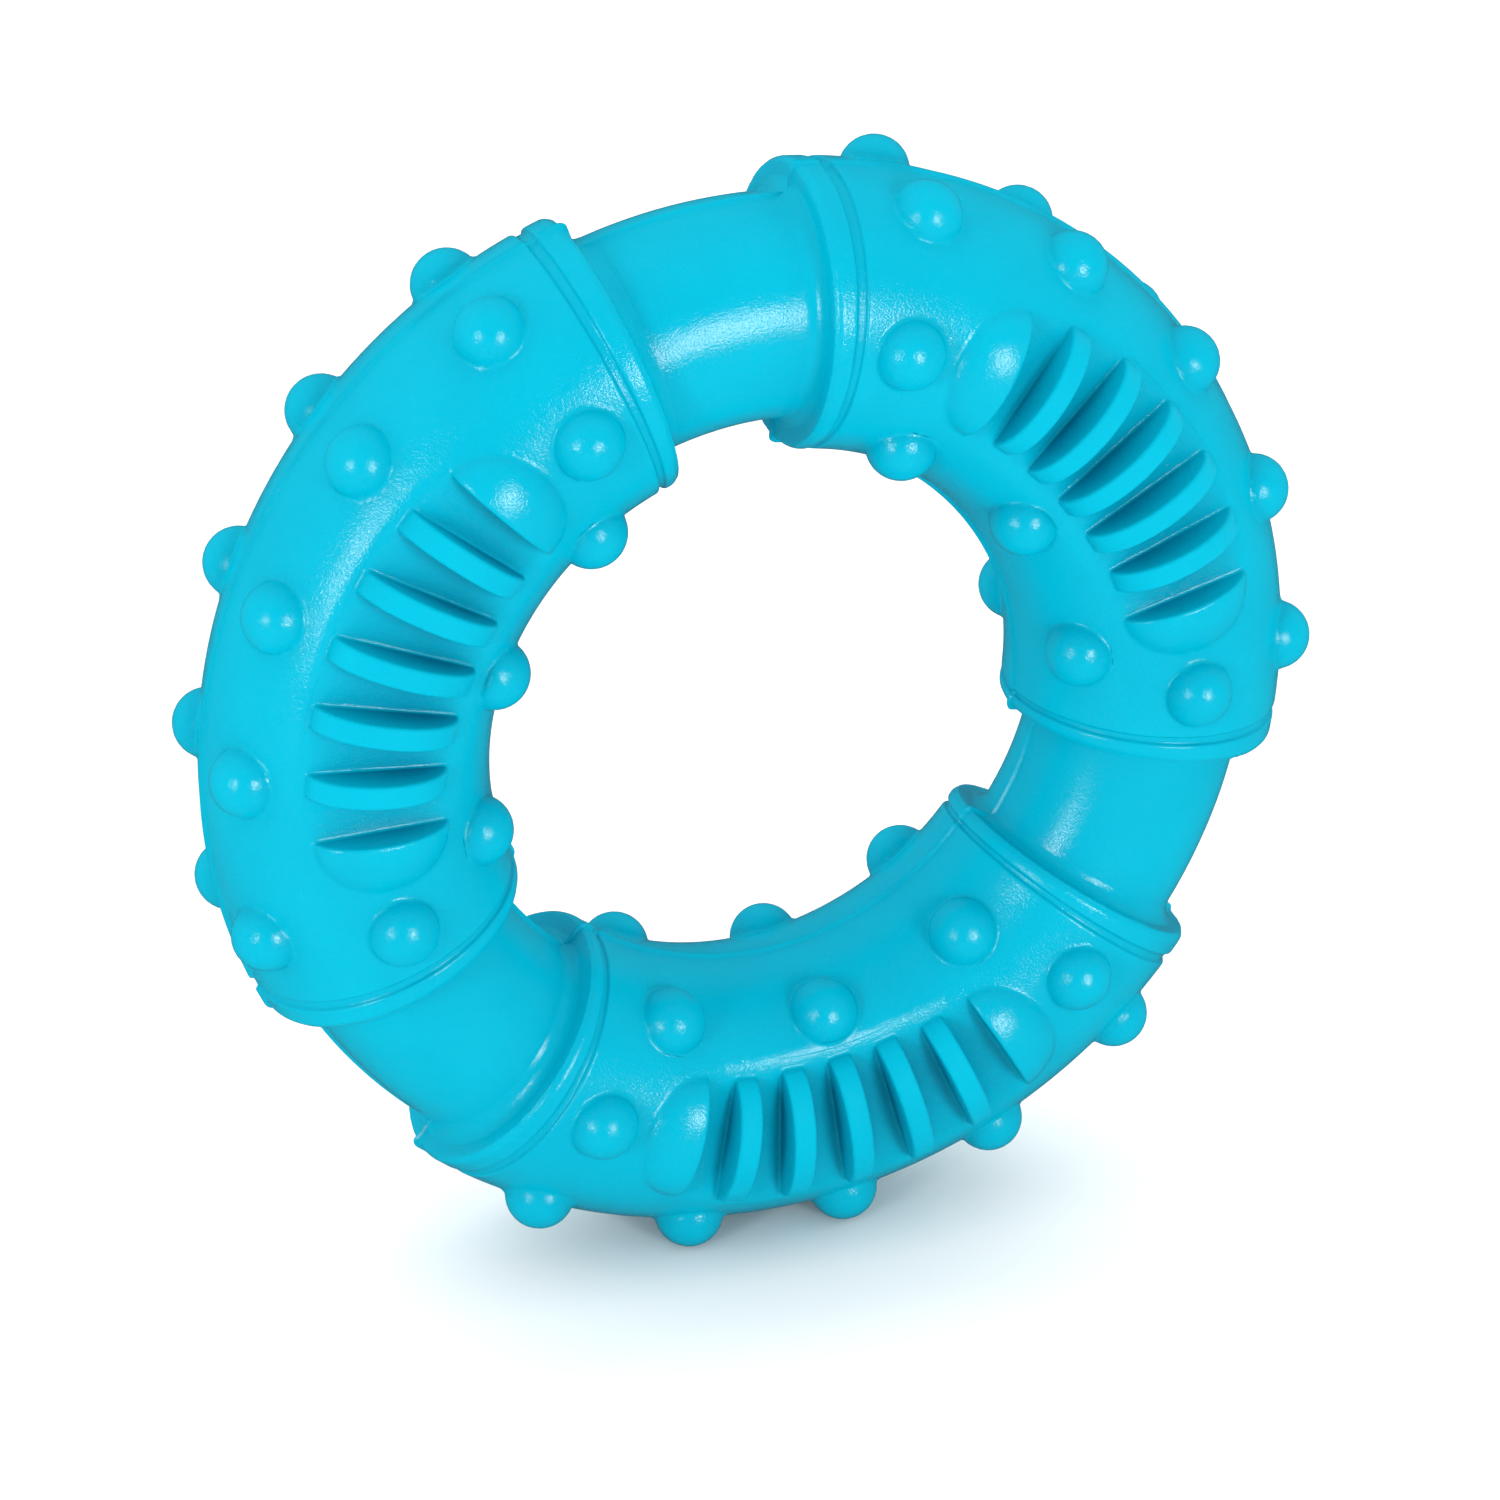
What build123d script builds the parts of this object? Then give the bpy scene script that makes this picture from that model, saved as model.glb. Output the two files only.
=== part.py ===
from build123d import *
import os
from math import asin, cos, degrees, radians, sin, sqrt

# A rubber chew ring that stands on edge. Three thick sleeves sit on a plain core ring. Each sleeve is
# a front and a back half that meet at the mould seam, with round nubs on its skin, and each half
# carries a pad of curved fins between two domes.
#
# Sizes are in millimetres and degrees. +Z is up, the ring's axis is along Y and the front faces -Y.
# The origin lies on the surface that the ring stands on, below the ring's centre.

# Core ring and sleeves
RING_RADIUS = 48.0          # from the ring's axis to the middle of its round section
CORE_RADIUS = 12.4          # round section of the core ring
CORE_CLEARANCE = 0.1        # room between the core ring and a sleeve's bore
SLEEVE_WALL = 3.6           # how far a sleeve stands over the core ring
SLEEVE_ARC = 96.0           # stretch of the ring that a sleeve covers

# Bead and groove at each end of a sleeve
BEAD_WIDTH = 2.35
BEAD_ROUND = 0.7            # round on the bead's outer edge
GROOVE_WIDTH = 0.9
GROOVE_DEPTH = 0.45
GROOVE_LIP_ROUND = 0.3      # round on both lips of the groove

# Ridge that the mould leaves along its seam
SEAM_WIDTH = 0.5
SEAM_HEIGHT = 0.4

# Nubs
NUB_RADIUS = 4.0
NUB_SINK = 0.65             # how deep a nub's centre lies under the sleeve's skin
OUTER_NUB_TILT = 30.0       # round the section, from the outer seam to the row
OUTER_NUB_PITCH = 18.0
OUTER_NUB_STEPS = (-2, -1, 0, 1, 2)
INNER_NUB_TILT = 140.4
INNER_NUB_PITCH = 30.0
INNER_NUB_STEPS = (-1, 0, 1)
CROWN_NUB_ANGLE = 37.5      # from the middle of the sleeve to the nub beyond each dome

# Fin pads
PAD_UNDER_WALL = 0.5        # sleeve left between its bore and the flat seat of a pad
PAD_BASE = 0.3              # from the seat up to the floor between the fins
PAD_END_RIM = 0.2           # pad beyond the foot of a dome
FIN_PITCH = 8.15
FIN_STEPS = (-2, -1, 0, 1, 2)
FIN_THICKNESS = 2.7
FIN_HEIGHT = 5.0            # above the floor
FIN_END_SHORTER = 0.45      # how much shorter each half of the last fin is
FIN_INSET = 0.1             # from the outer edge of the floor to the tip of the middle fin
FIN_SHIFT = 0.45            # how far the fins lie outside the middle of the floor
FIN_ROUND = 0.4             # round on the edges of a fin
END_SLOT = 4.43             # gap between the last fin and the dome
DOME_INSET = 1.14           # from the edge of the floor to the dome
DOME_HEIGHT = 4.3           # above the floor

# Shape rules
ROUND_LIMIT = 0.8           # largest share of a step or a half width that a round may take
CROWN_TILT = 90.0           # round the section, from the outer seam to the front crown

# Sizes that follow
SLEEVE_RADIUS = CORE_RADIUS + SLEEVE_WALL
BORE_RADIUS = CORE_RADIUS + CORE_CLEARANCE
SEAT_LEVEL = BORE_RADIUS + PAD_UNDER_WALL
FLOOR_LEVEL = SEAT_LEVEL + PAD_BASE
FLOOR_HALF_WIDTH = sqrt(SLEEVE_RADIUS**2 - FLOOR_LEVEL**2)
DOME_RADIUS = FLOOR_HALF_WIDTH - DOME_INSET
LAST_FIN = max(FIN_STEPS)
WALL_ANGLE = LAST_FIN * FIN_PITCH + degrees((FIN_THICKNESS / 2 + END_SLOT) / RING_RADIUS)
PAD_END_ANGLE = WALL_ANGLE + degrees(asin((DOME_RADIUS + PAD_END_RIM) / RING_RADIUS))
NUB_REACH = SLEEVE_RADIUS - NUB_SINK
CLEAR_OF_SKIN = 2 * SLEEVE_RADIUS

# The ring stands on two nubs of each outer row, so the bottom sleeve is turned by half a pitch.
STAND_ANGLE = OUTER_NUB_PITCH / 2
SLEEVE_ANGLES = {"bottom": 270 + STAND_ANGLE, "right": 30 + STAND_ANGLE, "left": 150 + STAND_ANGLE}
OUTER_NUB_CIRCLE = RING_RADIUS + NUB_REACH * cos(radians(OUTER_NUB_TILT))
NUB_FOOT = OUTER_NUB_CIRCLE * cos(radians(STAND_ANGLE)) + NUB_RADIUS
RING_HEIGHT = max(NUB_FOOT, RING_RADIUS + SLEEVE_RADIUS + SEAM_HEIGHT)

# Angles round the ring run from +X to +Z. A section is drawn with x away from the ring's axis and y
# towards the front.
RING_AXIS = Axis((0, 0, 0), (0, -1, 0))
SECTION = Plane(origin=(0, 0, 0), x_dir=(1, 0, 0), z_dir=(0, 0, -1))


def along_ring(length):
    """Angle that a length takes up on the middle line of the ring's section."""
    return degrees(length / RING_RADIUS)


def outward(angle):
    """Direction away from the ring's axis at an angle round the ring."""
    return Vector(cos(radians(angle)), 0, sin(radians(angle)))


def ring_point(angle, tilt, reach):
    """Point at an angle round the ring, and at a tilt and a reach from the middle of its section."""
    radius = RING_RADIUS + reach * cos(radians(tilt))
    return outward(angle) * radius - Vector(0, reach * sin(radians(tilt)), 0)


def turned(profile, start, end):
    """Solid of a section drawn on SECTION and turned from one angle round the ring to another."""
    face = (SECTION * profile).rotate(RING_AXIS, start)
    return revolve(face, axis=RING_AXIS, revolution_arc=end - start)


def disc(radius):
    """Round section of the ring."""
    return Pos(RING_RADIUS, 0) * Circle(radius)


def band(low, high, half_width):
    """Section between two levels in front of the seam, reaching equally in and out."""
    return Pos(RING_RADIUS, (low + high) / 2) * Rectangle(2 * half_width, high - low)


def core_ring():
    """The plain ring, with the seam's ridge on the necks between the sleeves."""
    ring = Rotation(90, 0, 0) * Torus(RING_RADIUS, CORE_RADIUS)
    ridge = band(-SEAM_WIDTH / 2, SEAM_WIDTH / 2, CORE_RADIUS + SEAM_HEIGHT)
    pitch = 360 / len(SLEEVE_ANGLES)
    for middle in SLEEVE_ANGLES.values():
        ring += turned(ridge, middle + SLEEVE_ARC / 2, middle + pitch - SLEEVE_ARC / 2)
    return ring


def skin_rims(tube):
    """Round edges that lie on the full skin of a sleeve, from its two ends to its middle."""
    rims = tube.edges().filter_by(GeomType.CIRCLE)
    on_skin = [rim for rim in rims if abs(rim.radius - SLEEVE_RADIUS) < GROOVE_DEPTH / 4]
    return sorted(on_skin, key=lambda rim: rim.arc_center.X)


def sleeve_tube():
    """A whole sleeve about +X without bore and nubs: end beads, grooves and seam ridge."""
    half = SLEEVE_ARC / 2
    bead = along_ring(BEAD_WIDTH)
    body = half - bead - along_ring(GROOVE_WIDTH)
    full = disc(SLEEVE_RADIUS)
    tube = turned(disc(SLEEVE_RADIUS - GROOVE_DEPTH), -half, half) + turned(full, -body, body)
    tube += turned(full, half - bead, half)
    tube += turned(full, -half, bead - half)

    # A bead is narrowest on the inside of the ring, and both its rounds have to fit there.
    narrow_bead = BEAD_WIDTH * (RING_RADIUS - SLEEVE_RADIUS) / RING_RADIUS
    lip_round = min(GROOVE_LIP_ROUND, GROOVE_DEPTH * ROUND_LIMIT)
    bead_round = min(BEAD_ROUND, (narrow_bead - lip_round) * ROUND_LIMIT)
    tube = fillet(skin_rims(tube)[:2], bead_round)
    tube = fillet(skin_rims(tube)[2:], lip_round)

    ridge = band(-SEAM_WIDTH / 2, SEAM_WIDTH / 2, SLEEVE_RADIUS + SEAM_HEIGHT)
    return tube + turned(ridge, -half, half)


def nub_places():
    """Angle round the ring and tilt round the section of each nub on a front half."""
    outer = [(step * OUTER_NUB_PITCH, OUTER_NUB_TILT) for step in OUTER_NUB_STEPS]
    inner = [(step * INNER_NUB_PITCH, INNER_NUB_TILT) for step in INNER_NUB_STEPS]
    crown = [(side * CROWN_NUB_ANGLE, CROWN_TILT) for side in (-1, 1)]
    return outer + inner + crown


def sleeve_front():
    """Front half of a sleeve about +X, with its nubs and the flat seat of its fin pad."""
    front = split(sleeve_tube(), bisect_by=Plane.XZ, keep=Keep.TOP)
    for angle, tilt in nub_places():
        front += Pos(ring_point(angle, tilt, NUB_REACH)) * Sphere(NUB_RADIUS)
    over_seat = disc(SLEEVE_RADIUS + CORE_CLEARANCE) & band(SEAT_LEVEL, CLEAR_OF_SKIN, SLEEVE_RADIUS)
    seat_cut = turned(over_seat, -PAD_END_ANGLE, PAD_END_ANGLE)
    bore = turned(disc(BORE_RADIUS), -SLEEVE_ARC, SLEEVE_ARC)
    return front - bore - seat_cut


def upright_plane(angle):
    """Plane across the ring at an angle, on the pad's floor: x away from the axis, y to the front."""
    radial = outward(angle)
    across = radial.cross(Vector(0, -1, 0))
    return Plane(origin=ring_point(angle, CROWN_TILT, FLOOR_LEVEL), x_dir=radial, z_dir=across)


def fin(step):
    """One fin: a half ellipse across the ring that stands on the floor, with rounded edges."""
    share = (step / LAST_FIN) ** 2
    half_length = FLOOR_HALF_WIDTH - FIN_INSET - FIN_SHIFT - FIN_END_SHORTER * share
    over_floor = Pos(0, FIN_HEIGHT / 2) * Rectangle(2 * half_length, FIN_HEIGHT)
    arch = Ellipse(half_length, FIN_HEIGHT) & over_floor
    root = Pos(0, -PAD_BASE / 2) * Rectangle(2 * half_length, PAD_BASE)
    outline = Pos(FIN_SHIFT, 0) * (arch + root)
    plane = upright_plane(step * FIN_PITCH)
    blade = extrude(plane * outline, amount=FIN_THICKNESS / 2, both=True)
    crest = blade.edges().filter_by(GeomType.ELLIPSE)
    return fillet(crest, min(FIN_ROUND, FIN_THICKNESS / 2 * ROUND_LIMIT))


def dome(side):
    """Half of a flattened dome, with its flat wall towards the fins."""
    corner = Pos(DOME_RADIUS / 2, DOME_HEIGHT / 2) * Rectangle(DOME_RADIUS, DOME_HEIGHT)
    quarter = Ellipse(DOME_RADIUS, DOME_HEIGHT) & corner
    plane = upright_plane(side * WALL_ANGLE)
    whole = revolve(plane * quarter, axis=Axis(plane.origin, plane.y_dir), revolution_arc=360)
    ends = sorted((side * WALL_ANGLE, side * PAD_END_ANGLE))
    return whole & turned(band(SEAT_LEVEL, FLOOR_LEVEL + 2 * DOME_HEIGHT, 2 * DOME_RADIUS), *ends)


def fin_pad():
    """Pad for a front half about +X: a flat base with fins, and a dome on the full skin at each end."""
    full = disc(SLEEVE_RADIUS)
    pad = turned(full & band(SEAT_LEVEL, FLOOR_LEVEL, SLEEVE_RADIUS), -WALL_ANGLE, WALL_ANGLE)
    skin = full & band(SEAT_LEVEL, CLEAR_OF_SKIN, SLEEVE_RADIUS)
    for side in (-1, 1):
        ends = sorted((side * WALL_ANGLE, side * PAD_END_ANGLE))
        pad += turned(skin, *ends)
        pad += dome(side)
    for step in FIN_STEPS:
        pad += fin(step)
    return pad


def placed(shape, angle):
    """A piece made about +X, turned to its angle round the ring and lifted to its height."""
    return Pos(0, 0, RING_HEIGHT) * shape.rotate(RING_AXIS, angle)


def pieces():
    """All pieces of the toy by name."""
    made = {"core_ring": placed(core_ring(), 0)}
    fronts = {"sleeve": sleeve_front(), "fins": fin_pad()}
    for kind, front in fronts.items():
        back = mirror(front, about=Plane.XZ)
        for name, angle in SLEEVE_ANGLES.items():
            made[f"{kind}_{name}_front"] = placed(front, angle)
            made[f"{kind}_{name}_back"] = placed(back, angle)
    return made


os.makedirs("parts", exist_ok=True)
for node, piece in pieces().items():
    export_step(piece, f"parts/{node}.step")
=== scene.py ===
import logging
import math
from dataclasses import dataclass, field
from enum import Enum
from typing import Callable

import bpy
import numpy as np
from mathutils import Matrix, Vector


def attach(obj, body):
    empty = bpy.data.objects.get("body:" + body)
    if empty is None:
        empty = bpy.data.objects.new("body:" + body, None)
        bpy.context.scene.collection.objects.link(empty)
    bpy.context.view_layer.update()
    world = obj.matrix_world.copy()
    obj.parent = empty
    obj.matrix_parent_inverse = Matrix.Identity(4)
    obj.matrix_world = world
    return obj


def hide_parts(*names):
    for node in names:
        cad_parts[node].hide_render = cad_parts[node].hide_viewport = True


# A rubber chew ring on a pale floor. Each sleeve half and each fin pad is meshed from one smooth
# distance field, so that nubs, fins, beads and domes flow into the skin as moulded rubber does.
# Sizes are in millimetres and degrees, and meshes are in metres. The ring's axis is along Y, the
# front faces -Y, and angles round the ring run from +X to +Z.

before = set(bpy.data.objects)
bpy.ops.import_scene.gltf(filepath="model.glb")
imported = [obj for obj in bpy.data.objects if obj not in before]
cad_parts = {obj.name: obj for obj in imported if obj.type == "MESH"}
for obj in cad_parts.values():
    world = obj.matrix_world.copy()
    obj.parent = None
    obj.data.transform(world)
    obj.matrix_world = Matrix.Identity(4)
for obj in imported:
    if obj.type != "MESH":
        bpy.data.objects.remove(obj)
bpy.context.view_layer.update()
LOG = logging.getLogger("chew_ring")

MM = 0.001
TINY = 1e-9
BODY = "root"

Points = np.ndarray
Limit = Callable[[Points], np.ndarray]


class Side(Enum):
    """Face of the toy that a piece lies on; the value is the sign of its level."""

    FRONT = 1
    BACK = -1


def smooth_min(first: np.ndarray, second: np.ndarray, width: float) -> np.ndarray:
    """Join two distances with a fillet.

    Args:
        first: Distance to one solid.
        second: Distance to the other solid.
        width: Reach of the fillet along each surface.

    Returns:
        Distance to the joined solid.
    """
    share = np.maximum(width - np.abs(first - second), 0.0) / width
    return np.minimum(first, second) - share * share * width / 4


def smooth_max(first: np.ndarray, second: np.ndarray, width: float) -> np.ndarray:
    """Cut one distance by another with a rounded edge; the arguments are those of smooth_min."""
    return -smooth_min(-first, -second, width)


def ellipse_distance(scaled: list[tuple[np.ndarray, float]]) -> np.ndarray:
    """Distance to an ellipse or ellipsoid, close to true near its surface.

    Args:
        scaled: Pairs of a coordinate from the centre and the half axis along it.

    Returns:
        Distance, negative inside.
    """
    near = np.sqrt(sum((value / axis) ** 2 for value, axis in scaled)) + TINY
    steep = np.sqrt(sum((value / axis**2) ** 2 for value, axis in scaled)) + TINY
    return near * (near - 1.0) / steep


def steps(*stretches: tuple[float, float, float]) -> np.ndarray:
    """Grid values over several stretches, each with its own step.

    Args:
        stretches: Start, end and largest step of each stretch, in order.

    Returns:
        Values from the first start to the last end.
    """
    parts = []
    for start, end, step in stretches:
        count = max(1, math.ceil((end - start) / step))
        parts.append(np.linspace(start, end, count, endpoint=False))
    parts.append(np.array([stretches[-1][1]]))
    return np.concatenate(parts)


@dataclass(frozen=True)
class ToySizes:
    """Sizes that the pieces share, the same as in the solid model."""

    ring_radius: float = 48.0
    core_radius: float = 12.4
    bore_radius: float = 12.5
    sleeve_radius: float = 16.0
    sleeve_half_arc: float = 48.0
    nub_radius: float = 4.0
    nub_sink: float = 0.65
    outer_nub_tilt: float = 30.0
    outer_nub_pitch: float = 18.0
    inner_nub_tilt: float = 140.4
    inner_nub_pitch: float = 30.0
    crown_nub_angle: float = 37.5
    seat_level: float = 13.0
    floor_level: float = 13.3
    ridge_height: float = 0.42
    ridge_spread: float = 0.26

    @property
    def nub_reach(self) -> float:
        """Distance from the middle of the section to the middle of a nub."""
        return self.sleeve_radius - self.nub_sink

    @property
    def stand_angle(self) -> float:
        """Angle from straight down to the nubs that the ring stands on."""
        return self.outer_nub_pitch / 2

    @property
    def ring_height(self) -> float:
        """Height of the ring's centre over the floor."""
        circle = self.ring_radius + self.nub_reach * math.cos(math.radians(self.outer_nub_tilt))
        return circle * math.cos(math.radians(self.stand_angle)) + self.nub_radius

    @property
    def sleeve_angles(self) -> dict[str, float]:
        """Angle round the ring of the middle of each sleeve."""
        turn = self.stand_angle
        return {"bottom": 270 + turn, "right": 30 + turn, "left": 150 + turn}


@dataclass
class NetMesh:
    """Mesh of a solid, with a normal for each corner of each face."""

    points: np.ndarray
    quads: np.ndarray
    normals: np.ndarray

    def placed(self, angle: float, side: Side, height: float) -> "NetMesh":
        """Copy of the mesh at an angle round the ring.

        Args:
            angle: Angle round the ring, in degrees.
            side: Face of the toy; the back is the mirror image of the front.
            height: Height of the ring's centre, in millimetres.

        Returns:
            The turned, lifted and perhaps mirrored mesh.
        """
        turn = math.radians(angle)
        spin = np.array([
            [math.cos(turn), 0.0, -math.sin(turn)],
            [0.0, float(side.value), 0.0],
            [math.sin(turn), 0.0, math.cos(turn)],
        ])
        points = self.points @ spin.T + np.array([0.0, 0.0, height])
        normals = self.normals @ spin.T
        if side is Side.BACK:
            return NetMesh(points, self.quads[:, ::-1], normals[:, ::-1])
        return NetMesh(points, self.quads, normals)

    def to_object(self, name: str) -> bpy.types.Object:
        """Blender object of the mesh.

        Args:
            name: Name of the piece.

        Returns:
            The new object, linked to the scene.
        """
        mesh = bpy.data.meshes.new(name)
        mesh.from_pydata((self.points * MM).tolist(), [], self.quads.tolist())
        mesh.shade_smooth()
        mesh.normals_split_custom_set(self.normals.reshape(-1, 3).tolist())
        piece = bpy.data.objects.new(name, mesh)
        bpy.context.scene.collection.objects.link(piece)
        return piece


@dataclass
class SurfaceNet:
    """Meshes the solid where every limit is below zero, on a grid of ring coordinates.

    The grid's axes are the angle round the ring, the distance from the ring's axis and the level in
    front of the seam. Corners where two limits meet stay sharp.
    """

    limits: list[Limit]
    angles: np.ndarray
    radii: np.ndarray
    levels: np.ndarray
    rounds: int = 8
    reach: float = 0.002
    least_slope: float = 0.05

    @staticmethod
    def place(coords: np.ndarray) -> Points:
        """Points of ring coordinates given as rows of angle, distance and level."""
        angle = coords[:, 0]
        radius = coords[:, 1]
        return np.stack([radius * np.cos(angle), -coords[:, 2], radius * np.sin(angle)], axis=1)

    def slope(self, limit: Limit, points: Points) -> np.ndarray:
        """Gradient of a limit.

        Args:
            limit: Distance function.
            points: Points to measure at.

        Returns:
            One gradient for each point.
        """
        columns = []
        for axis in range(3):
            shift = np.zeros(3)
            shift[axis] = self.reach
            columns.append((limit(points + shift) - limit(points - shift)) / (2 * self.reach))
        return np.stack(columns, axis=1)

    def settle(self, points: Points, active: list[np.ndarray]) -> None:
        """Move each point onto all the limits that it belongs to.

        Args:
            points: Points, moved in place.
            active: For each limit, which points lie on it.
        """
        for _ in range(self.rounds):
            for limit, mask in zip(self.limits, active):
                chosen = points[mask]
                slope = self.slope(limit, chosen)
                steep = np.maximum((slope**2).sum(axis=1), self.least_slope)
                points[mask] = chosen - slope * (limit(chosen) / steep)[:, None]

    def build(self) -> NetMesh:
        """Mesh of the solid."""
        axes = (self.angles, self.radii, self.levels)
        shape = tuple(len(axis) for axis in axes)
        grid = np.stack(np.meshgrid(*axes, indexing="ij"), axis=-1).reshape(-1, 3)
        spots = self.place(grid)
        values = np.max([limit(spots) for limit in self.limits], axis=0).reshape(shape)
        inside = values < 0

        coords = []
        cells = []
        for axis in range(3):
            low = [slice(None)] * 3
            high = [slice(None)] * 3
            low[axis] = slice(0, -1)
            high[axis] = slice(1, None)
            index = np.argwhere(inside[tuple(low)] != inside[tuple(high)])
            step = np.eye(3, dtype=int)[axis]
            start = values[tuple(index.T)]
            end = values[tuple((index + step).T)]
            share = start / (start - end)
            crossing = np.stack([axes[k][index[:, k]] for k in range(3)], axis=1)
            span = axes[axis][index[:, axis] + 1] - axes[axis][index[:, axis]]
            crossing[:, axis] += share * span
            coords.append(crossing)
            first, second = [np.eye(3, dtype=int)[k] for k in range(3) if k != axis]
            around = [index, index - first, index - first - second, index - second]
            loop = np.stack([np.ravel_multi_index(tuple(cell.T), shape) for cell in around], axis=1)
            inward = inside[tuple(index.T)] == (axis != 1)
            cells.append(np.where(inward[:, None], loop[:, ::-1], loop))
        coords = np.concatenate(coords)
        cells = np.concatenate(cells)

        crossed = self.place(coords)
        owner = np.argmax([limit(crossed) for limit in self.limits], axis=0)
        _, corner = np.unique(cells.ravel(), return_inverse=True)
        corner = corner.reshape(cells.shape)
        flat = corner.ravel()
        total = np.bincount(flat)
        mean = np.stack(
            [np.bincount(flat, weights=np.repeat(coords[:, k], 4)) / total for k in range(3)], axis=1
        )
        points = self.place(mean)
        active = [
            np.bincount(flat, weights=np.repeat(owner == k, 4)) > 0 for k in range(len(self.limits))
        ]
        self.settle(points, active)
        on_first = np.abs(self.limits[0](points)) < self.reach
        owner = np.where(on_first[corner].all(axis=1), 0, owner)
        return self.faced(points, corner, owner)

    def faced(self, points: Points, quads: np.ndarray, owner: np.ndarray) -> NetMesh:
        """Give the corners of every face the normals of the limit it lies on.

        Args:
            points: Corners of the mesh.
            quads: Corner numbers of each face.
            owner: Number of the limit that each face lies on.

        Returns:
            The finished mesh.
        """
        normals = np.zeros((len(quads), 4, 3))
        for number, limit in enumerate(self.limits):
            mine = owner == number
            used = np.unique(quads[mine])
            slope = np.zeros_like(points)
            slope[used] = self.slope(limit, points[used])
            normals[mine] = slope[quads[mine]]
        normals /= np.maximum(np.linalg.norm(normals, axis=2, keepdims=True), TINY)
        return NetMesh(points, quads, normals)


@dataclass(frozen=True)
class RubberFinish:
    """Moulded rubber: one strong colour with painted shade in slots and creases, a faint mottle, a fine
    grain and gloss.
    """

    name: str = "turquoise_rubber"
    light: tuple[float, float, float, float] = (0.000, 0.360, 0.500, 1.0)
    deep: tuple[float, float, float, float] = (0.000, 0.340, 0.478, 1.0)
    # Painted shade: the dark colour mixed into slots and creases, with how far and how finely the
    # occlusion that places it is sampled.
    painted_slot_shade: tuple[float, float, float, float] = (0.000, 0.030, 0.145, 1.0)
    painted_shade_reach: float = 0.005
    painted_shade_samples: int = 5
    painted_shade_open: tuple[float, float] = (0.05, 0.48)
    noise_span: tuple[float, float] = (0.35, 0.65)
    mottle_scale: float = 90.0
    mottle_detail: float = 4.0
    grain_detail: float = 2.0
    grain_scale: float = 4000.0
    peel_scale: float = 420.0
    grain_depth: float = 0.00005
    peel_depth: float = 0.00005
    gloss_low: float = 0.09
    gloss_high: float = 0.17
    specular: float = 0.30

    def material(self) -> bpy.types.Material:
        """Node material of the finish."""
        material = bpy.data.materials.new(self.name)
        material.use_nodes = True
        tree = material.node_tree
        nodes = tree.nodes
        shader = nodes["Principled BSDF"]
        shader.inputs["Specular IOR Level"].default_value = self.specular
        place = nodes.new("ShaderNodeTexCoord")

        mottle = self.noise(tree, place, self.mottle_scale, self.mottle_detail)
        colour = nodes.new("ShaderNodeValToRGB")
        colour.color_ramp.elements[0].position = self.noise_span[0]
        colour.color_ramp.elements[0].color = self.deep
        colour.color_ramp.elements[1].position = self.noise_span[1]
        colour.color_ramp.elements[1].color = self.light
        tree.links.new(mottle.outputs["Fac"], colour.inputs["Fac"])
        # Painted shade: the base colour is darkened wherever ambient occlusion finds the piece shutting
        # out light.
        shaded_colour = self.paint_slot_shade(tree, colour)
        tree.links.new(shaded_colour.outputs["Color"], shader.inputs["Base Color"])

        grain = self.noise(tree, place, self.grain_scale, self.grain_detail)
        gloss = nodes.new("ShaderNodeMapRange")
        gloss.inputs["From Min"].default_value = self.noise_span[0]
        gloss.inputs["From Max"].default_value = self.noise_span[1]
        gloss.inputs["To Min"].default_value = self.gloss_low
        gloss.inputs["To Max"].default_value = self.gloss_high
        tree.links.new(grain.outputs["Fac"], gloss.inputs["Value"])
        tree.links.new(gloss.outputs["Result"], shader.inputs["Roughness"])

        peel = self.noise(tree, place, self.peel_scale, self.grain_detail)
        wave = self.bump(tree, peel, self.peel_depth)
        fine = self.bump(tree, grain, self.grain_depth)
        tree.links.new(wave.outputs["Normal"], fine.inputs["Normal"])
        tree.links.new(fine.outputs["Normal"], shader.inputs["Normal"])
        return material

    def paint_slot_shade(self, tree: bpy.types.NodeTree, colour: bpy.types.Node) -> bpy.types.Node:
        """Painted shade: the colour is darkened towards a painted shade colour where the piece itself
        shuts out the light, as between the fins.

        Args:
            tree: Node tree of the material.
            colour: Node whose Color output is the colour in the open.

        Returns:
            The mix node, with the colour and its painted shade at its Color output.
        """
        # Painted shade: ambient occlusion within the piece decides how far the colour is darkened towards
        # the painted shade colour.
        shut = tree.nodes.new("ShaderNodeAmbientOcclusion")
        shut.only_local = True
        shut.samples = self.painted_shade_samples
        shut.inputs["Distance"].default_value = self.painted_shade_reach
        share = tree.nodes.new("ShaderNodeMapRange")
        share.inputs["From Min"].default_value = self.painted_shade_open[0]
        share.inputs["From Max"].default_value = self.painted_shade_open[1]
        tree.links.new(shut.outputs["AO"], share.inputs["Value"])
        painted_shade_mix = tree.nodes.new("ShaderNodeMixRGB")
        painted_shade_mix.inputs["Color1"].default_value = self.painted_slot_shade
        tree.links.new(share.outputs["Result"], painted_shade_mix.inputs["Fac"])
        tree.links.new(colour.outputs["Color"], painted_shade_mix.inputs["Color2"])
        return painted_shade_mix

    @staticmethod
    def noise(
        tree: bpy.types.NodeTree, place: bpy.types.Node, scale: float, detail: float
    ) -> bpy.types.Node:
        """Noise over the object's own coordinates.

        Args:
            tree: Node tree of the material.
            place: Texture coordinate node.
            scale: Noise cells in a metre.
            detail: Octaves of finer noise.

        Returns:
            The noise node.
        """
        node = tree.nodes.new("ShaderNodeTexNoise")
        node.inputs["Scale"].default_value = scale
        node.inputs["Detail"].default_value = detail
        tree.links.new(place.outputs["Object"], node.inputs["Vector"])
        return node

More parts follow.
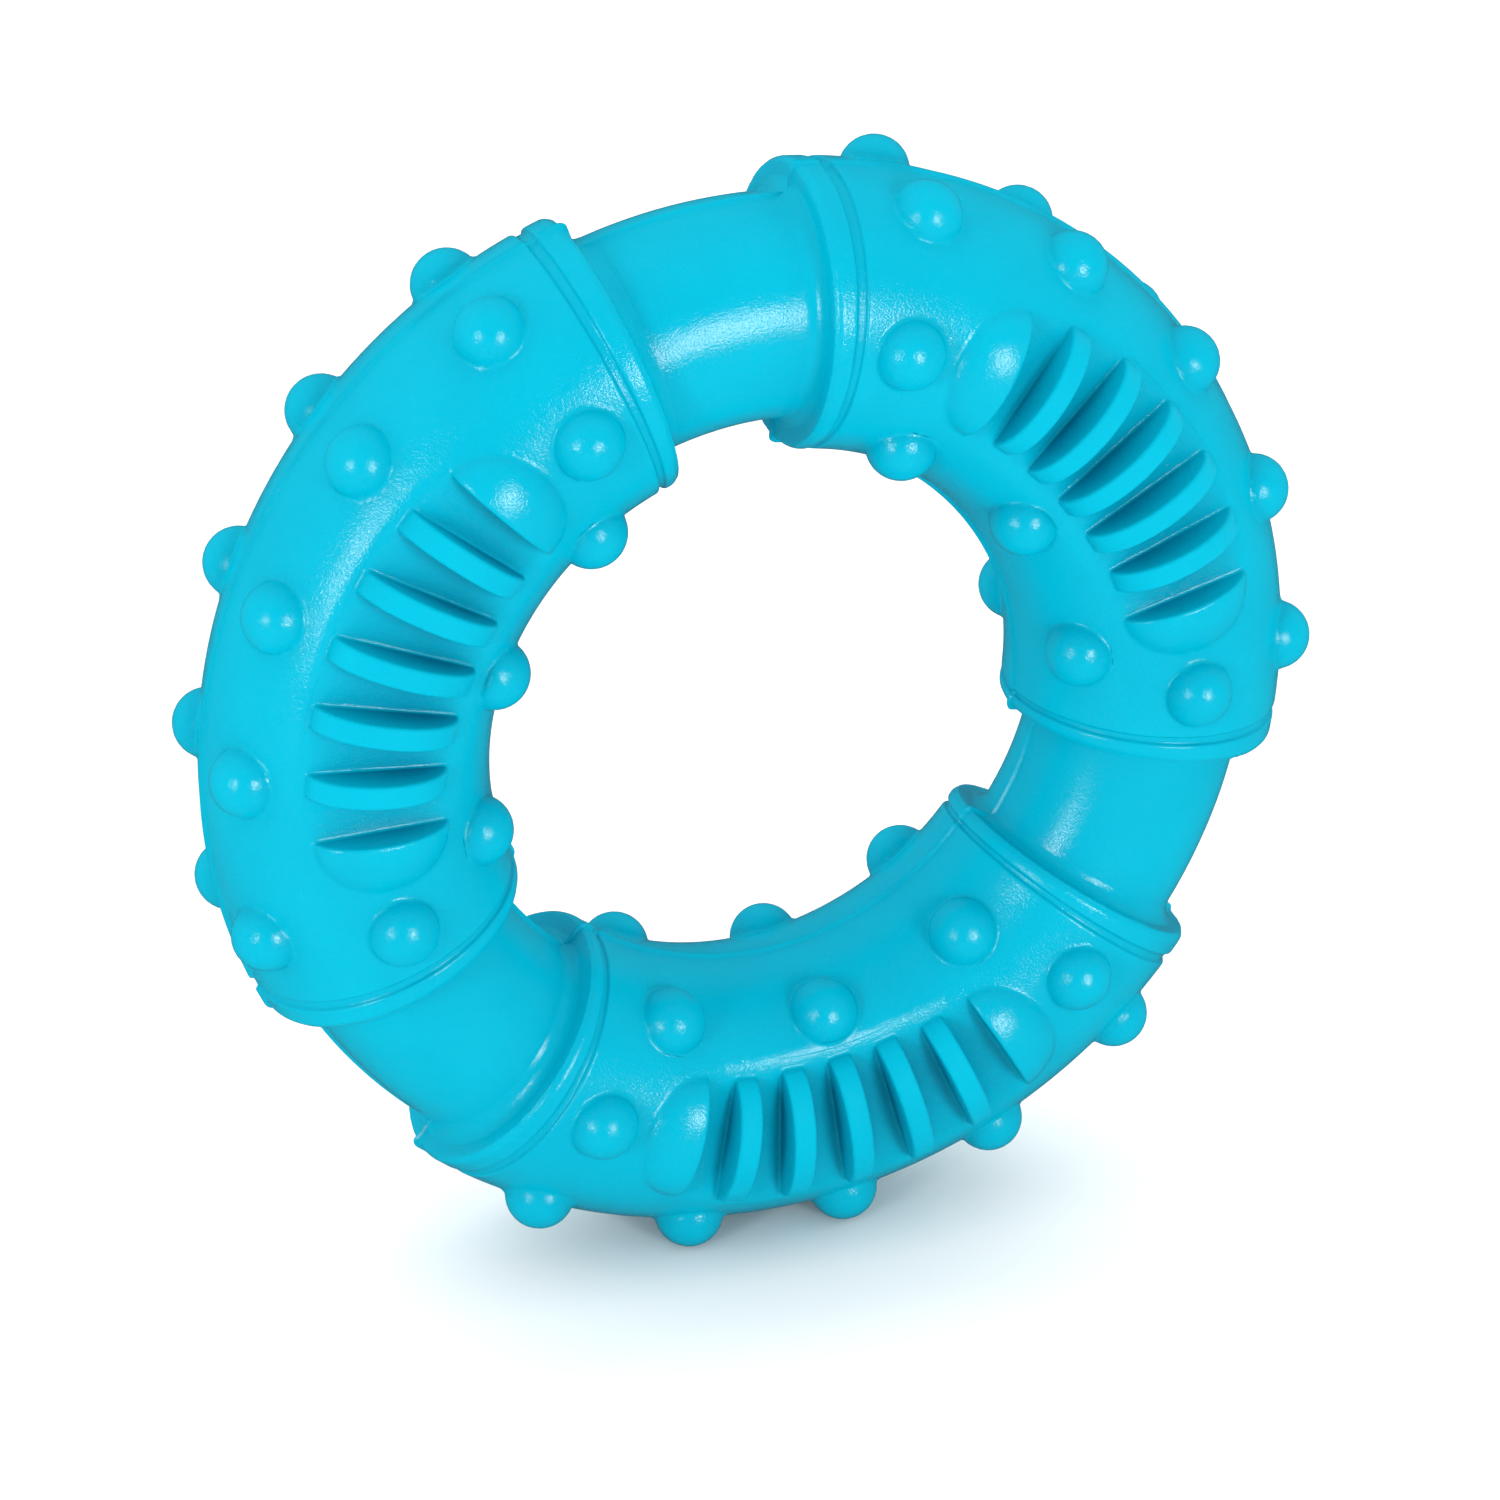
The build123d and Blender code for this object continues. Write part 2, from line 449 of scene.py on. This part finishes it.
    @staticmethod
    def bump(tree: bpy.types.NodeTree, height: bpy.types.Node, depth: float) -> bpy.types.Node:
        """Bump from a height.

        Args:
            tree: Node tree of the material.
            height: Node whose Fac output is the height.
            depth: Depth of the bump in metres.

        Returns:
            The bump node.
        """
        node = tree.nodes.new("ShaderNodeBump")
        node.inputs["Distance"].default_value = depth
        tree.links.new(height.outputs["Fac"], node.inputs["Height"])
        return node


def register(piece: bpy.types.Object, finish: bpy.types.Material, *nodes: str) -> None:
    """Dress a piece, tie it to the body and hide the solid nodes that it stands for.

    Args:
        piece: The new piece.
        finish: Its material.
        nodes: Nodes of the solid model that the piece replaces.
    """
    piece.data.materials.append(finish)
    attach(piece, BODY)
    if nodes:
        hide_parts(*nodes)
    LOG.info("%s: %d faces", piece.name, len(piece.data.polygons))


@dataclass(frozen=True)
class SleeveSkin:
    """Outer skin of a sleeve about +X as a distance field, with its bead, nubs, fins and domes."""

    sizes: ToySizes
    bead_width: float = 2.35
    bead_round: float = 1.1
    groove_width: float = 0.9
    groove_depth: float = 0.45
    lip_round: float = 0.45
    groove_fillet: float = 0.25
    nub_fillet: float = 0.38
    fin_angles: tuple[float, ...] = (0.0, 8.15, 16.3)
    fin_half_lengths: tuple[float, ...] = (8.34, 8.23, 7.89)
    fin_height: float = 5.0
    fin_shift: float = 0.45
    fin_thickness: float = 2.7
    fin_round: float = 0.5
    fin_fillet: float = 0.32
    wall_angle: float = 23.2
    dome_radius: float = 7.75
    dome_height: float = 4.8
    floor_rise: float = 0.75
    dome_fillet: float = 0.28
    wall_round: float = 0.4
    edge_round: float = 0.95
    edge_blend: float = 2.0
    pad_end_angle: float = 32.73
    pad_side_room: float = 0.04

    @property
    def pad_half_width(self) -> float:
        """Half the width of the space for a pad, just past the edge of its seat."""
        chord = math.sqrt(self.sizes.sleeve_radius**2 - self.sizes.seat_level**2)
        return chord + self.pad_side_room

    def section(self, points: Points) -> tuple[np.ndarray, np.ndarray, np.ndarray, np.ndarray]:
        """Ring coordinates of points, folded about the middle of the sleeve.

        Args:
            points: Points in millimetres.

        Returns:
            Angle in radians, distance from the ring's axis, level in front of the seam, and distance
            from the middle of the section.
        """
        radius = np.hypot(points[:, 0], points[:, 2])
        angle = np.abs(np.arctan2(points[:, 2], points[:, 0]))
        level = -points[:, 1]
        return angle, radius, level, np.hypot(radius - self.sizes.ring_radius, level)

    def tube(self, points: Points) -> np.ndarray:
        """Distance to the sleeve with its end bead, groove and seam ridge, without nubs and fins."""
        angle, radius, level, reach = self.section(points)
        full = reach - self.sizes.sleeve_radius
        ridge = self.sizes.ridge_height * np.exp(-((level / self.sizes.ridge_spread) ** 2))
        full = full - ridge
        end = math.radians(self.sizes.sleeve_half_arc)
        bead = end - self.bead_width / self.sizes.ring_radius
        body = bead - self.groove_width / self.sizes.ring_radius
        beyond_end = (angle - end) * radius - ridge
        ring = smooth_max(full, beyond_end, self.bead_round)
        ring = smooth_max(ring, (bead - angle) * radius, self.lip_round)
        trunk = smooth_max(full, (angle - body) * radius, self.lip_round)
        base = np.maximum(full + self.groove_depth, beyond_end)
        return smooth_min(np.minimum(ring, trunk), base, self.groove_fillet)

    def nub_places(self) -> list[tuple[float, float]]:
        """Angle and tilt of each nub on one half of a front face."""
        sizes = self.sizes
        outer = [(step * sizes.outer_nub_pitch, sizes.outer_nub_tilt) for step in range(3)]
        inner = [(step * sizes.inner_nub_pitch, sizes.inner_nub_tilt) for step in range(2)]
        return outer + inner + [(sizes.crown_nub_angle, 90.0)]

    def with_nubs(self, points: Points) -> np.ndarray:
        """Distance to the sleeve with its nubs."""
        sizes = self.sizes
        skin = self.tube(points)
        level = -points[:, 1]
        along = np.abs(points[:, 2])
        for angle, tilt in self.nub_places():
            circle = sizes.ring_radius + sizes.nub_reach * math.cos(math.radians(tilt))
            x = circle * math.cos(math.radians(angle))
            z = circle * math.sin(math.radians(angle))
            y = sizes.nub_reach * math.sin(math.radians(tilt))
            ball = np.sqrt((points[:, 0] - x) ** 2 + (level - y) ** 2 + (along - z) ** 2)
            skin = smooth_min(skin, ball - sizes.nub_radius, self.nub_fillet)
        return skin

    def upright(self, points: Points, at: float) -> tuple[np.ndarray, np.ndarray, np.ndarray]:
        """Coordinates from a point on the pad's floor.

        Args:
            points: Points in millimetres.
            at: Angle of the point round the ring, in degrees.

        Returns:
            Distance along the ring, away from its axis, and above the floor.
        """
        angle, radius, level, _ = self.section(points)
        turn = angle - math.radians(at)
        return (
            radius * np.sin(turn),
            radius * np.cos(turn) - self.sizes.ring_radius,
            level - self.sizes.floor_level,
        )

    def skin(self, points: Points) -> np.ndarray:
        """Distance to the whole outer skin."""
        angle, radius, level, _ = self.section(points)
        solid = self.with_nubs(points)
        along, outward, above = self.upright(points, self.wall_angle)
        dome = ellipse_distance(
            [(along, self.dome_radius), (outward, self.dome_radius), (above, self.dome_height)]
        )
        solid = smooth_min(solid, dome, self.dome_fillet)
        from_wall = (math.radians(self.wall_angle) - angle) * radius
        floor = above - self.floor_rise * (angle / math.radians(self.wall_angle)) ** 2
        slot = smooth_min(floor, from_wall, self.fin_fillet)
        slot = np.minimum(slot, self.pad_half_width - np.abs(radius - self.sizes.ring_radius))
        share = np.clip(from_wall / self.edge_blend, 0.0, 1.0)
        rounding = self.wall_round + (self.edge_round - self.wall_round) * share
        solid = smooth_max(solid, slot, rounding)
        for at, half_length in zip(self.fin_angles, self.fin_half_lengths):
            along, outward, above = self.upright(points, at)
            across = outward - self.fin_shift
            arch = ellipse_distance([(across, half_length), (np.maximum(above, 0.0), self.fin_height)])
            blade = smooth_max(np.abs(along) - self.fin_thickness / 2, arch, self.fin_round)
            solid = smooth_min(solid, blade, self.fin_fillet)
        return solid

    def past_bore(self, points: Points) -> np.ndarray:
        """Distance that is below zero outside the bore."""
        return self.sizes.bore_radius - self.section(points)[3]

    def past_seam(self, points: Points) -> np.ndarray:
        """Distance that is below zero in front of the seam."""
        return points[:, 1]

    def clear_of_pad(self, points: Points) -> np.ndarray:
        """Distance that is below zero outside the space of the fin pad."""
        return np.minimum(-self.above_seat(points), -self.within_pad(points))

    def above_seat(self, points: Points) -> np.ndarray:
        """Distance that is below zero above the pad's seat."""
        return self.sizes.seat_level + points[:, 1]

    def within_pad(self, points: Points) -> np.ndarray:
        """Distance that is below zero between the ends and the sides of the pad."""
        angle, radius, _, _ = self.section(points)
        past_end = (angle - math.radians(self.pad_end_angle)) * radius
        past_side = np.abs(radius - self.sizes.ring_radius) - self.pad_half_width
        return np.maximum(past_end, past_side)


@dataclass
class Sleeves:
    """The three sleeves: a front and a back half each, with a fin pad in each half."""

    sizes: ToySizes
    finish: bpy.types.Material
    blade_finish: bpy.types.Material
    blade_foot: float = 0.35
    skin: SleeveSkin = field(init=False)

    def __post_init__(self) -> None:
        """Make the skin that all sleeves share."""
        self.skin = SleeveSkin(self.sizes)

    def half_mesh(self) -> NetMesh:
        """Mesh of a front half about +X."""
        skin = self.skin
        limits = [skin.skin, skin.past_bore, skin.past_seam, skin.clear_of_pad]
        bead = (43.4, 49.2, 0.18)
        far_bead = (-bead[1], -bead[0], bead[2])
        body = (-bead[0], bead[0], 0.62)
        across = (30.8, 69.4, 0.5)
        seam = (-0.4, 1.0, 0.13)
        flank = (1.0, 12.1, 0.55)
        seat = (12.1, 13.3, 0.15)
        crown = (13.3, 20.2, 0.5)
        angles = np.radians(steps(far_bead, body, bead))
        return SurfaceNet(limits, angles, steps(across), steps(seam, flank, seat, crown)).build()

    def pad_mesh(self) -> NetMesh:
        """Mesh of a front fin pad about +X."""
        skin = self.skin
        limits = [skin.skin, skin.above_seat, skin.within_pad]
        dome = (23.6, 33.2, 0.5)
        far_dome = (-dome[1], -dome[0], dome[2])
        slots = (-dome[0], dome[0], 0.34)
        across = (38.0, 58.0, 0.36)
        floor = (12.7, 14.2, 0.2)
        blades = (14.2, 18.9, 0.34)
        angles = np.radians(steps(far_dome, slots, dome))
        return SurfaceNet(limits, angles, steps(across), steps(floor, blades)).build()

    def on_blades(self, mesh: NetMesh) -> np.ndarray:
        """Which faces of a pad lie on its blades, above their feet."""
        middle = mesh.points[mesh.quads].mean(axis=1)
        angle, _, level, _ = self.skin.section(middle)
        last = math.radians(self.skin.fin_angles[-1]) + self.skin.fin_thickness / self.sizes.ring_radius
        return (angle < last) & (level > self.sizes.floor_level + self.blade_foot)

    def build(self) -> None:
        """Make the halves and the pads of all sleeves."""
        kinds = {"sleeve": self.half_mesh(), "fins": self.pad_mesh()}
        blades = self.on_blades(kinds["fins"]).astype(np.int32)
        for kind, mesh in kinds.items():
            for name, angle in self.sizes.sleeve_angles.items():
                for side in Side:
                    node = f"{kind}_{name}_{side.name.lower()}"
                    piece = mesh.placed(angle, side, self.sizes.ring_height).to_object(f"{node}_skin")
                    register(piece, self.finish, node)
                    if kind == "fins":
                        piece.data.materials.append(self.blade_finish)
                        piece.data.polygons.foreach_set("material_index", blades)


@dataclass
class CoreRing:
    """The plain ring that shows as the necks, with a fillet at the foot of each sleeve end."""

    sizes: ToySizes
    finish: bpy.types.Material
    foot_radius: float = 1.9
    foot_steps: int = 6
    buried: float = 0.1
    ring_step: float = 1.0
    section_step: float = 3.0
    seam_step: float = 0.5
    seam_zone: float = 6.0
    sharp_angle: float = 50.0

    def point_rows(self, angles: np.ndarray, tilts: np.ndarray, reach: np.ndarray) -> np.ndarray:
        """Points of the ring's surface.

        Args:
            angles: Angles round the ring, in radians.
            tilts: Angles round the section, in radians.
            reach: Distance from the middle of the section.

        Returns:
            Points in millimetres, in the shape of the arguments.
        """
        radius = self.sizes.ring_radius + reach * np.cos(tilts)
        height = self.sizes.ring_height + radius * np.sin(angles)
        return np.stack([radius * np.cos(angles), -reach * np.sin(tilts), height], axis=-1)

    @staticmethod
    def closed_faces(rows: int, columns: int) -> np.ndarray:
        """Faces of a grid that closes on itself both ways.

        Args:
            rows: Number of rows of points.
            columns: Number of points in a row.

        Returns:
            Corner numbers of each face.
        """
        row, column = np.meshgrid(np.arange(rows), np.arange(columns), indexing="ij")
        next_row = (row + 1) % rows
        next_column = (column + 1) % columns
        corners = [row * columns + column, row * columns + next_column,
                   next_row * columns + next_column, next_row * columns + column]
        return np.stack([corner.ravel() for corner in corners], axis=1)

    def neck_grid(self) -> tuple[np.ndarray, np.ndarray]:
        """Points and faces of the ring's own surface, with the seam ridge."""
        outer = (0.0, self.seam_zone, self.seam_step)
        face = (self.seam_zone, 180.0 - self.seam_zone, self.section_step)
        inner = (180.0 - self.seam_zone, 180.0, self.seam_step)
        half = steps(outer, face, inner)[:-1]
        tilts = np.radians(np.concatenate([half, half + 180.0]))
        angles = np.radians(np.arange(0.0, 360.0, self.ring_step))
        angle, tilt = np.meshgrid(angles, tilts, indexing="ij")
        level = self.sizes.core_radius * np.sin(tilt)
        ridge = self.sizes.ridge_height * np.exp(-((level / self.sizes.ridge_spread) ** 2))
        covered = np.zeros_like(angle, dtype=bool)
        for middle in self.sizes.sleeve_angles.values():
            apart = np.abs((np.degrees(angle) - middle + 180.0) % 360.0 - 180.0)
            covered |= apart < self.sizes.sleeve_half_arc
        reach = self.sizes.core_radius + np.where(covered, 0.0, ridge)
        points = self.point_rows(angle, tilt, reach).reshape(-1, 3)
        return points, self.closed_faces(*angle.shape)[:, ::-1]

    def foot_grid(self, middle: float, end: int) -> tuple[np.ndarray, np.ndarray]:
        """Points and faces of the fillet between a neck and the end of a sleeve.

        Args:
            middle: Angle round the ring of the sleeve's middle, in degrees.
            end: Sign of the sleeve's end.

        Returns:
            Points in millimetres and faces of the closed fillet.
        """
        top = self.sizes.core_radius + self.foot_radius
        sweep = np.linspace(math.pi, 1.5 * math.pi, self.foot_steps)
        along = self.foot_radius * (1 + np.cos(sweep))
        reach = top + self.foot_radius * np.sin(sweep)
        along = np.concatenate([[-self.buried], along, [self.foot_radius, -self.buried]])
        reach = np.concatenate([[top], reach, [self.sizes.core_radius - self.buried] * 2])
        tilts = np.radians(np.arange(0.0, 360.0, self.section_step))
        wall = math.radians(middle + end * self.sizes.sleeve_half_arc)
        angle = wall + end * along / self.sizes.ring_radius
        tilt, row = np.meshgrid(tilts, np.arange(len(along)), indexing="ij")
        points = self.point_rows(angle[row], tilt, reach[row]).reshape(-1, 3)
        faces = self.closed_faces(*tilt.shape)
        return points, faces if end > 0 else faces[:, ::-1]

    def build(self) -> None:
        """Make the ring with its fillets as one piece."""
        grids = [self.neck_grid()]
        for middle in self.sizes.sleeve_angles.values():
            grids += [self.foot_grid(middle, end) for end in (-1, 1)]
        starts = np.cumsum([0] + [len(points) for points, _ in grids[:-1]])
        points = np.concatenate([points for points, _ in grids])
        faces = np.concatenate([faces + start for (_, faces), start in zip(grids, starts)])
        mesh = bpy.data.meshes.new("core_ring_skin")
        mesh.from_pydata((points * MM).tolist(), [], faces.tolist())
        mesh.shade_smooth()
        mesh.set_sharp_from_angle(angle=math.radians(self.sharp_angle))
        piece = bpy.data.objects.new("core_ring_skin", mesh)
        bpy.context.scene.collection.objects.link(piece)
        register(piece, self.finish, "core_ring")


@dataclass(frozen=True)
class StudioLight:
    """An upright softbox that looks at the ring."""

    name: str
    azimuth: float
    elevation: float
    distance: float
    width: float
    height: float
    power: float

    def build(self, aim: Vector) -> None:
        """Make the light.

        Args:
            aim: Point that the light looks at, in metres.
        """
        data = bpy.data.lights.new(self.name, "AREA")
        data.shape = "RECTANGLE"
        data.size = self.width
        data.size_y = self.height
        data.energy = self.power
        lamp = bpy.data.objects.new(self.name, data)
        bpy.context.scene.collection.objects.link(lamp)
        away = direction(self.azimuth, self.elevation)
        lamp.visible_camera = False
        lamp.location = aim + away * self.distance
        lamp.rotation_euler = away.to_track_quat("Z", "Y").to_euler()


def direction(azimuth: float, elevation: float) -> Vector:
    """Direction from the ring to a viewer; azimuth 0 is in front and grows to the right."""
    turn = math.radians(azimuth)
    rise = math.radians(elevation)
    return Vector((math.sin(turn) * math.cos(rise), -math.cos(turn) * math.cos(rise), math.sin(rise)))


@dataclass(frozen=True)
class Studio:
    """Floor, light and camera of the photograph."""

    sizes: ToySizes
    azimuth: float = -20.865
    elevation: float = 25.878
    roll: float = 1.170
    distance: float = 0.586445
    lens: float = 124.13
    sensor: float = 36.0
    aim_right: float = -0.243
    aim_up: float = -5.846
    floor_half: float = 4.0
    near_clip: float = 0.01
    floor_colour: tuple[float, float, float, float] = (0.90, 0.89, 0.88, 1.0)
    floor_roughness: float = 0.6
    floor_specular: float = 0.2
    sky_colour: tuple[float, float, float, float] = (1.0, 1.0, 1.0, 1.0)
    sky_strength: float = 2.00
    front_strength: float = 0.28
    mirrored_strength: float = 0.06
    tent_span: tuple[float, float] = (-1.0, 0.2)
    lights: tuple[StudioLight, ...] = (
        StudioLight("left_softbox", -54.0, 12.0, 1.0, 0.14, 0.30, 2.6),
        StudioLight("right_softbox", 14.0, 10.0, 1.0, 0.22, 0.35, 4.9),
    )

    def build(self) -> None:
        """Make the floor, the sky, the lights and the camera."""
        aim = Vector((self.aim_right, 0.0, self.sizes.ring_height + self.aim_up)) * MM
        self.floor()
        self.sky()
        for light in self.lights:
            light.build(aim)
        self.camera(aim)
        bpy.context.scene.view_settings.view_transform = "Standard"

    def floor(self) -> None:
        """Make the pale floor."""
        half = self.floor_half
        corners = [(-half, -half, 0.0), (half, -half, 0.0), (half, half, 0.0), (-half, half, 0.0)]
        mesh = bpy.data.meshes.new("pale_floor")
        mesh.from_pydata(corners, [], [(0, 1, 2, 3)])
        material = bpy.data.materials.new("pale_floor")
        material.use_nodes = True
        shader = material.node_tree.nodes["Principled BSDF"]
        shader.inputs["Base Color"].default_value = self.floor_colour
        shader.inputs["Roughness"].default_value = self.floor_roughness
        shader.inputs["Specular IOR Level"].default_value = self.floor_specular
        mesh.materials.append(material)
        floor = bpy.data.objects.new("pale_floor", mesh)
        bpy.context.scene.collection.objects.link(floor)
        floor.visible_glossy = False

    def sky(self) -> None:
        """Make the even light of a tent that is open in front; the rubber mirrors it only faintly."""
        world = bpy.data.worlds.new("studio_sky")
        world.use_nodes = True
        tree = world.node_tree
        back = tree.nodes["Background"]
        back.inputs["Color"].default_value = self.sky_colour
        place = tree.nodes.new("ShaderNodeTexCoord")
        split = tree.nodes.new("ShaderNodeSeparateXYZ")
        tent = tree.nodes.new("ShaderNodeMapRange")
        tent.inputs["From Min"].default_value = self.tent_span[0]
        tent.inputs["From Max"].default_value = self.tent_span[1]
        tent.inputs["To Min"].default_value = self.front_strength
        tent.inputs["To Max"].default_value = self.sky_strength
        tree.links.new(place.outputs["Generated"], split.inputs["Vector"])
        tree.links.new(split.outputs["Y"], tent.inputs["Value"])
        path = tree.nodes.new("ShaderNodeLightPath")
        strength = tree.nodes.new("ShaderNodeMapRange")
        strength.inputs["To Max"].default_value = self.mirrored_strength
        tree.links.new(tent.outputs["Result"], strength.inputs["To Min"])
        tree.links.new(path.outputs["Is Glossy Ray"], strength.inputs["Value"])
        tree.links.new(strength.outputs["Result"], back.inputs["Strength"])
        world.cycles.sampling_method = "NONE"
        bpy.context.scene.world = world

    def camera(self, aim: Vector) -> None:
        """Make the camera at the photograph's view.

        Args:
            aim: Point in the middle of the picture, in metres.
        """
        data = bpy.data.cameras.new("photo_camera")
        data.lens = self.lens
        data.sensor_width = self.sensor
        data.clip_start = self.near_clip
        camera = bpy.data.objects.new("photo_camera", data)
        bpy.context.scene.collection.objects.link(camera)
        back = direction(self.azimuth, self.elevation)
        right = Vector((0.0, 0.0, 1.0)).cross(back).normalized()
        up = back.cross(right)
        turn = Matrix.Rotation(math.radians(self.roll), 3, back)
        axes = Matrix((turn @ right, turn @ up, back)).transposed()
        camera.matrix_world = Matrix.Translation(aim + back * self.distance) @ axes.to_4x4()
        bpy.context.scene.camera = camera


def main() -> None:
    """Build the toy and its studio."""
    logging.basicConfig(level=logging.INFO, format="%(name)s %(message)s")
    sizes = ToySizes()
    rubber = RubberFinish().material()
    dull = RubberFinish("turquoise_blades", gloss_low=0.45, gloss_high=0.60, specular=0.03).material()
    smooth = RubberFinish(
        "turquoise_necks", grain_depth=0.00004, peel_depth=0.00003, specular=0.27
    ).material()
    CoreRing(sizes, smooth).build()
    Sleeves(sizes, rubber, dull).build()
    Studio(sizes).build()


if __name__ == "__main__":
    main()
